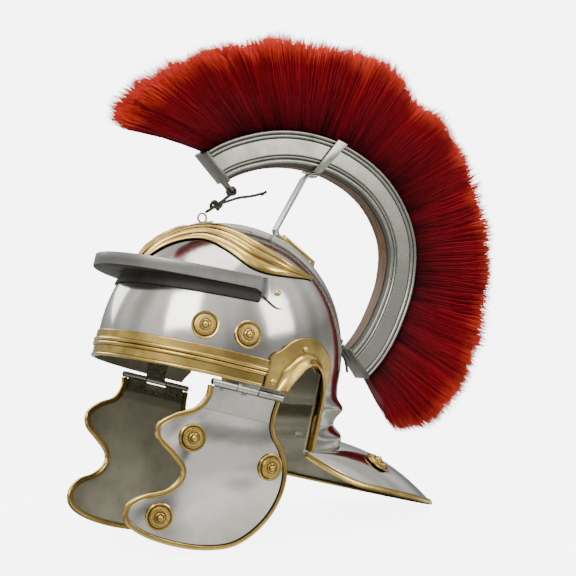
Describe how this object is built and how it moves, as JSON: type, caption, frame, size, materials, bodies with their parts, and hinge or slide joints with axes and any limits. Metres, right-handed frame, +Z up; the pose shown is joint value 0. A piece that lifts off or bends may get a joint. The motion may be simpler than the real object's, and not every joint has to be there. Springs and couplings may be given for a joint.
{
  "type": "roman legionary helmet",
  "caption": "Steel legionary helmet with brass trim, hinged cheek guards, a broad neck guard and an arched crest box holding a fan of red hair.",
  "frame": {"origin": "centre of the bounding box's base, on the surface that the helmet stands on, without the two ties", "axes": "+Z up, -Y the way the face looks, +X the wearer's left; the helmet leans back 17.3 degrees as it rests on the cheek guards and the neck guard"},
  "size_m": [0.209, 0.4446, 0.4528],
  "materials": {
    "polished_steel": "polished",
    "plain_steel": "satin",
    "brass": "polished",
    "dyed_hair": "fine straight hair",
    "wood": "plain",
    "dark_cord": "matt cord"
  },
  "bodies": {
    "root": {"bowl": "polished_steel", "brow_band": "brass", "brow_guard": "polished_steel", "neck_guard_edging": "brass", "eyebrow_left": "brass", "eyebrow_right": "brass", "ear_guard_left": "brass", "ear_guard_right": "brass", "bowl_rosette_left_1": "brass", "bowl_rosette_left_2": "brass", "bowl_rosette_right_1": "brass", "bowl_rosette_right_2": "brass", "brow_guard_rivet_left": "brass", "brow_guard_rivet_right": "brass", "ear_rivet_left_1": "brass", "ear_rivet_left_2": "brass", "ear_rivet_right_1": "brass", "ear_rivet_right_2": "brass", "bowl_hinge_left": "plain_steel", "bowl_hinge_right": "plain_steel", "hinge_pin_left": "plain_steel", "hinge_pin_right": "plain_steel", "neck_rosette_1": "brass", "neck_rosette_2": "brass", "crest_side_left": "plain_steel", "crest_side_right": "plain_steel", "crest_block": "wood", "crest_cap_front": "plain_steel", "crest_cap_back": "plain_steel", "crest_strap": "plain_steel", "crest_stem": "plain_steel", "slot_plate": "brass", "plume": "dyed_hair", "front_hook": "plain_steel", "back_hook": "plain_steel", "front_tie": "dark_cord", "back_tie": "dark_cord"},
    "cheek_left": {"cheek_guard_left": "polished_steel", "cheek_edging_left": "brass", "cheek_hinge_left": "plain_steel", "cheek_rosette_left_1": "brass", "cheek_rosette_left_2": "brass", "cheek_rosette_left_3": "brass"},
    "cheek_right": {"cheek_guard_right": "polished_steel", "cheek_edging_right": "brass", "cheek_hinge_right": "plain_steel", "cheek_rosette_right_1": "brass", "cheek_rosette_right_2": "brass", "cheek_rosette_right_3": "brass"}
  },
  "joints": [
    {"name": "cheek_left_hinge", "type": "hinge", "parent": "root", "child": "cheek_left", "pos_m": [0.09, -0.1145, 0.13541], "axis": [0, -0.9547, 0.2975], "range_deg": [-20, 90]},
    {"name": "cheek_right_hinge", "type": "hinge", "parent": "root", "child": "cheek_right", "pos_m": [-0.09, -0.1145, 0.13541], "axis": [0, 0.9547, -0.2975], "range_deg": [-20, 90]}
  ]
}
